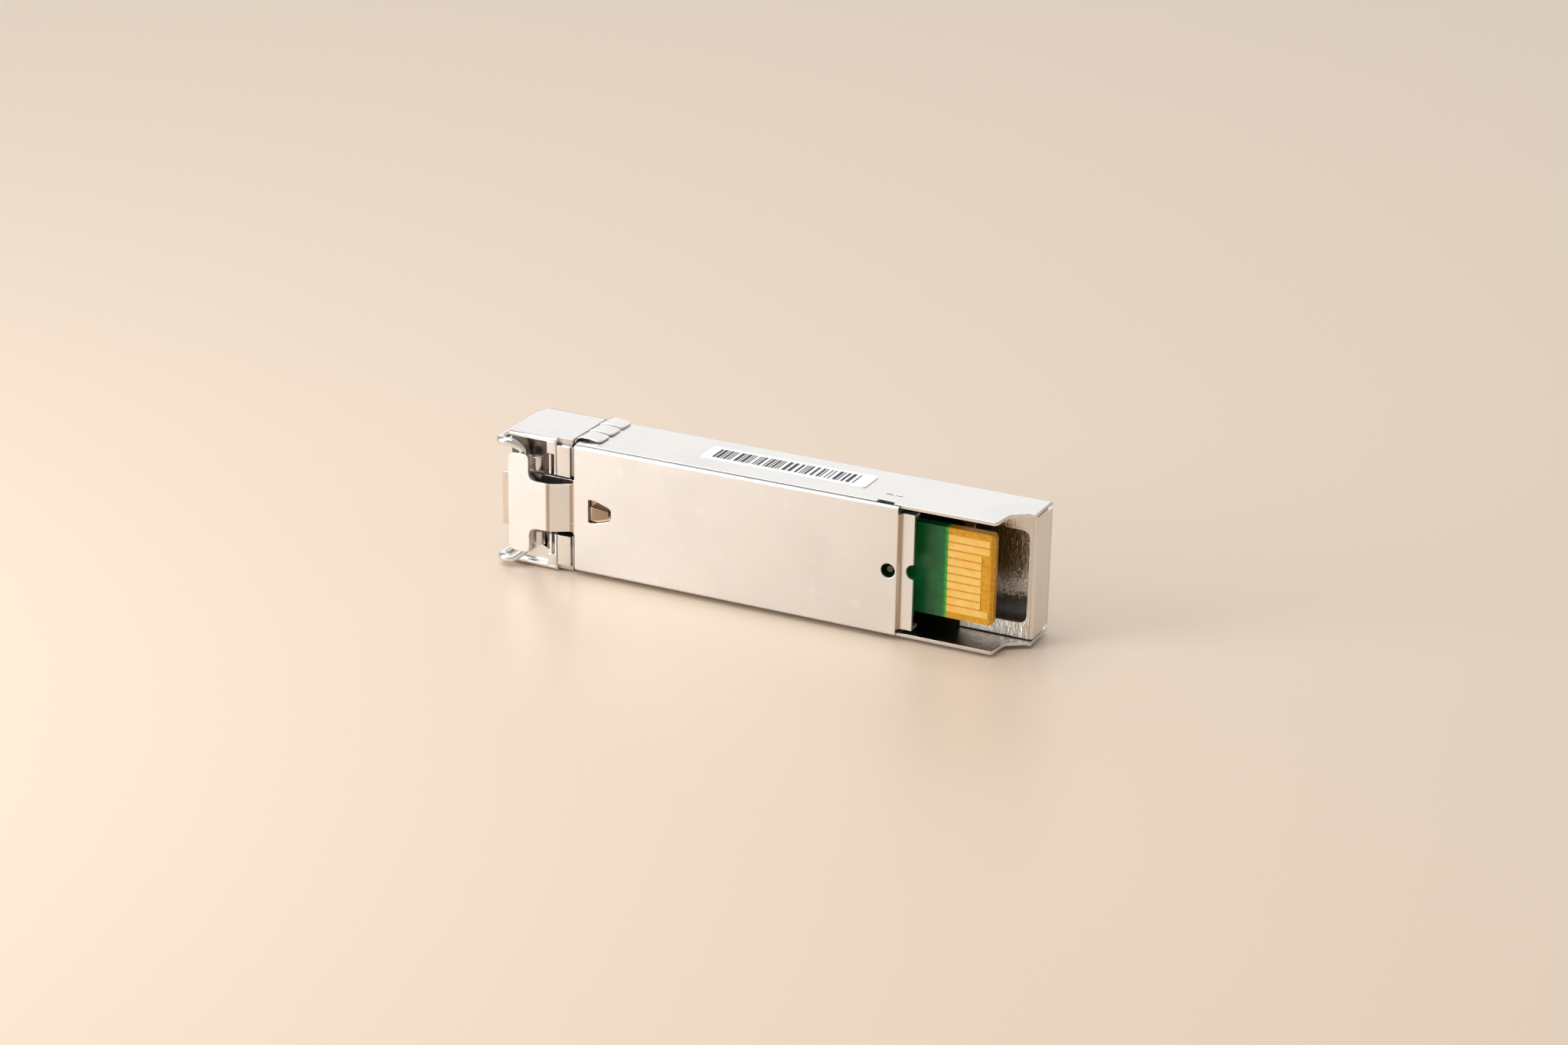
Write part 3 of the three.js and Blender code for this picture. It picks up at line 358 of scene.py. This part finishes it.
def cover_color(start):
    """Bright plating, browner in a band of painted shade at each bend, with a few fine bright scratches."""
    color = cover_satin["Base_Color"](start)
    x = start.along("X")
    for bend in COVER_BEND_SHADES:
        # a brown band of painted shade over each bend, where the bent sheet would turn darker
        bend_shade = x.step(bend - BEND_SHADE_WIDTH, bend - BEND_SHADE_WIDTH / 3) * (1 - x.step(bend + BEND_SHADE_WIDTH / 3, bend + BEND_SHADE_WIDTH))
        color = (bend_shade * 0.9).tint(color, (0.44, 0.33, 0.23))
    for stretch in SCRATCH_STRETCHES:
        lines = start.noise(stretch, scale=1.3, roughness=0.6).step(0.66, 0.74)
        color = (lines * 0.35).tint(color, (0.98, 0.97, 0.96))
    return color


cover_steel = finish("cover_steel", **{**cover_satin, "Base_Color": cover_color})


def is_bend(edge):
    """Whether an edge of the cover is a bend across the tongue, where it meets the T."""
    across = abs((edge.verts[0].co - edge.verts[1].co).normalized().z) > 0.99
    in_front = edge.verts[0].co.x < T_BEND_X and edge.calc_length() > BEND_LENGTH * MM
    if not (across and in_front and edge.is_manifold):
        return False
    return BEND_ANGLES[0] < edge.calc_face_angle() < BEND_ANGLES[1]


cover = whole("bottom_cover")
bends = [edge for edge in cover.edges if is_bend(edge)]
bmesh.ops.bevel(cover, geom=bends, affect="EDGES", offset=BEND_R * MM / 2, segments=5, profile=0.5,
                material=-1)
piece("latch_cover", cover, cover_steel, "module", ["bottom_cover"], edge=0.05)

# ---- nose ---------------------------------------------------------------------------------------------
# A plated zinc die casting with two fibre ports. Its edges are soft from the mould, and its skin is a little
# duller than the stamped steel.
SEAT_SHADE_DEPTH = (0.4, 0.55, 1.0, 1.2)  # where the painted shade on the seat's floor starts and ends, from the latch face in
SEAT_SHADE_SPAN = (-4.7, -4.1, 6.3, 6.45)  # the same, across the width
cast_satin = satin((0.82, 0.79, 0.76), 0.06, 0.7, 0.2)


def cast_color(start):
    """Bright skin, with painted shade on the floor of the bail's seat."""
    depth = start.along("Y")
    across = start.along("Z")
    # painted shade where the T hangs over the seat's floor
    seat_shade = depth.step(*SEAT_SHADE_DEPTH[:2]) * (1 - depth.step(*SEAT_SHADE_DEPTH[2:]))
    seat_shade = seat_shade * across.step(*SEAT_SHADE_SPAN[:2]) * (1 - across.step(*SEAT_SHADE_SPAN[2:]))
    return (seat_shade * 0.9).tint(cast_satin["Base_Color"](start), (0.07, 0.05, 0.04))


cast_nose = finish("cast_nose", **{**cast_satin, "Base_Color": cast_color})
piece("cast_nose", whole("nose_housing"), cast_nose, "module", ["nose_housing"],
      edge=0.07)

# ---- shield collar ------------------------------------------------------------------------------------
# A frame of thin spring steel round the shell's front edge. Its fingers bulge outwards, where they would
# touch the sides of a cage.
spring_steel = finish("spring_steel", **satin((0.85, 0.83, 0.80), 0.03, 0.08, 0.24))
piece("shield_fingers", whole("shield_collar"), spring_steel, "module", ["shield_collar"],
      edge=0.03, segments=2)

# ---- latch --------------------------------------------------------------------------------------------
# The bail is one bent round wire in the nose's seat. Its crank rocks the stamped lever on a pin, and a
# torsion spring returns the lever.
bail_wire = finish("bail_wire", **satin((0.86, 0.85, 0.83), 0.03, 0.05, 0.16))
# the lever's steel is darker and browner than the other steels: painted shade
lever_satin_painted_shade = satin((0.70, 0.62, 0.54), 0.05, 0.12, 0.17)
POST_REFLECTION_SPAN = (-3, -1)  # where the lever's colour turns to the post's painted reflection of the warm bench


def lever_color(start):
    """Steel in front, and browner back at the post as a painted reflection of the warm bench."""
    return start.along("X").step(*POST_REFLECTION_SPAN).tint(lever_satin_painted_shade["Base_Color"](start), (0.44, 0.34, 0.24))


lever_steel = finish("lever_steel", **{**lever_satin_painted_shade, "Base_Color": lever_color})
turned_steel = finish("turned_steel", **satin((0.76, 0.75, 0.73), 0.03, 0.1, 0.22))
piece("wire_bail", whole("bail"), bail_wire, "bail", ["bail"])
piece("rocker_lever", whole("latch_lever"), lever_steel, "lever", ["latch_lever"], edge=0.06)


def dress(node, material):
    """Gives a CAD node whose shape is right a better material."""
    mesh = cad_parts[node].data
    mesh.materials.clear()
    mesh.materials.append(material)


dress("latch_spring", spring_steel)
dress("lever_pin", turned_steel)

# ---- optical sub-assemblies ---------------------------------------------------------------------------
# Two turned barrels with split zirconia sleeves carry gold-plated cans. A plate clamps them to the nose, and
# amber flexes join them to the board.
zirconia = finish("zirconia", Base_Color=(0.93, 0.92, 0.89), Roughness=0.2)
gold_can = finish("gold_can", **satin((0.95, 0.74, 0.36), 0.04, 0.08, 0.2))
flex_film = finish("flex_film", Base_Color=(0.45, 0.2, 0.04), Roughness=0.25)
for half in ("transmitter", "receiver"):
    dress(f"{half}_barrel", turned_steel)
    dress(f"{half}_sleeve", zirconia)
    dress(f"{half}_can", gold_can)
    dress(f"{half}_flex", flex_film)
dress("optics_clamp", shell_steel)

# ---- circuit board ------------------------------------------------------------------------------------
# Glass-epoxy laminate, one millimetre thick, with a bevelled end. Green solder mask covers it up to the gold
# lands.
LANDS = [f"contact_{face}_{i + 1:02d}" for face in ("near", "far") for i in range(10)]
land_x = measured(LANDS[0])[0].x
LAND_PITCH = 0.8
MASK_RAGGED = 0.05  # how far the mask's edge wanders
SCALLOP = 0.05  # how far the mask reaches in between the lands
MASK_RIM = 0.45  # the brighter strip along the mask's edge


def board_color(start):
    """Clouded green mask with a brighter rim, up to the lands, and bare amber laminate past them."""
    waves = start.math("COSINE", start.along("Z") * (2 * math.pi / LAND_PITCH))
    wander = start.noise(EVEN, scale=2.2) * (2 * MASK_RAGGED) - waves * SCALLOP
    ragged = start.along("X") + wander - MASK_RAGGED
    laminate = start.noise(EVEN, scale=3).step(0.3, 0.7)
    laminate = laminate.tint((0.62, 0.27, 0.004), (0.75, 0.36, 0.012))
    clouds = start.noise(EVEN, scale=0.9, detail=3, roughness=0.6).step(0.2, 0.8)
    clouds = clouds.tint((0.004, 0.12, 0.028), (0.008, 0.17, 0.045))
    rim = ragged.step(land_x - MASK_RIM, land_x - 0.05)
    green = rim.tint(clouds, (0.05, 0.42, 0.035))
    return ragged.step(land_x - 0.02, land_x + 0.05).tint(green, laminate)


def board_normal(start):
    """A slight unevenness, with a finer one on it."""
    uneven = start.noise(EVEN, scale=1.6) + start.noise(EVEN, scale=9, detail=1) * 0.3
    return uneven.bump(1.2, strength=0.5)


solder_mask = finish("solder_mask", Base_Color=board_color, Roughness=0.3, Normal=board_normal)


def land_color(start):
    clouds = start.noise(EVEN, scale=1.1, detail=3, roughness=0.6).step(0.35, 0.7)
    return clouds.tint((1.0, 0.60, 0.13), (1.0, 0.68, 0.22))


def land_roughness(start):
    return start.noise((0.3, 1, 1), scale=6) * 0.2 + 0.25


contact_gold = finish("contact_gold", Base_Color=land_color, Metallic=0.45, Roughness=land_roughness)
piece("board", whole("circuit_board"), solder_mask, "module", ["circuit_board"],
      edge=0.03)
for node in LANDS:
    dress(node, contact_gold)
# the standoff pin sits deep in its hole, so its steel is near black: painted shade
dress("board_standoff", finish("standoff_painted_shade", **satin((0.13, 0.12, 0.1), 0.1, 0.3, 0.25)))

chip_resin = finish("chip_resin", Base_Color=(0.02, 0.02, 0.022), Roughness=0.5)
capacitor_ceramic = finish("capacitor_ceramic", Base_Color=(0.45, 0.3, 0.17), Roughness=0.4)
inductor_core = finish("inductor_core", Base_Color=(0.05, 0.05, 0.05), Roughness=0.5)
for node in ("laser_driver_chip", "amplifier_chip", "controller_chip", "memory_chip"):
    dress(node, chip_resin)
for i in range(6):
    dress(f"capacitor_{i + 1}", capacitor_ceramic)
for i in range(2):
    dress(f"inductor_{i + 1}", inductor_core)

# ---- label --------------------------------------------------------------------------------------------
# A white polyester label on the upper narrow side. It is printed with plain bars of random width, which say
# nothing.
label_paper = finish("label_paper", Base_Color=(0.95, 0.95, 0.95), Roughness=0.4)
label_ink = finish("label_ink", Base_Color=(0.035, 0.03, 0.033), Roughness=0.55)
dress("barcode_label", label_paper)
label_low, label_high = measured("barcode_label")
BAR_MARGIN = Vector((1.1, 0.5, 0))
BAR_ROOM = 0.3  # no bar starts nearer than this to the end margin
BAR_WIDTHS = [0.13, 0.13, 0.26, 0.36]
INK_THICK = 0.012
draw = random.Random(7)
bars = bmesh.new()
x = label_low.x + BAR_MARGIN.x
while x < label_high.x - BAR_MARGIN.x - BAR_ROOM:
    width = draw.choice(BAR_WIDTHS)
    size = Vector((width, label_high.y - label_low.y - 2 * BAR_MARGIN.y, INK_THICK))
    middle = Vector((x + width / 2, (label_low.y + label_high.y) / 2, label_high.z + INK_THICK / 2))
    bmesh.ops.create_cube(bars, size=1, matrix=Matrix.Translation(middle) @ Matrix.Diagonal((*size, 1)))
    x += width + draw.choice(BAR_WIDTHS)
place(bars)
piece("label_bars", bars, label_ink, "module")
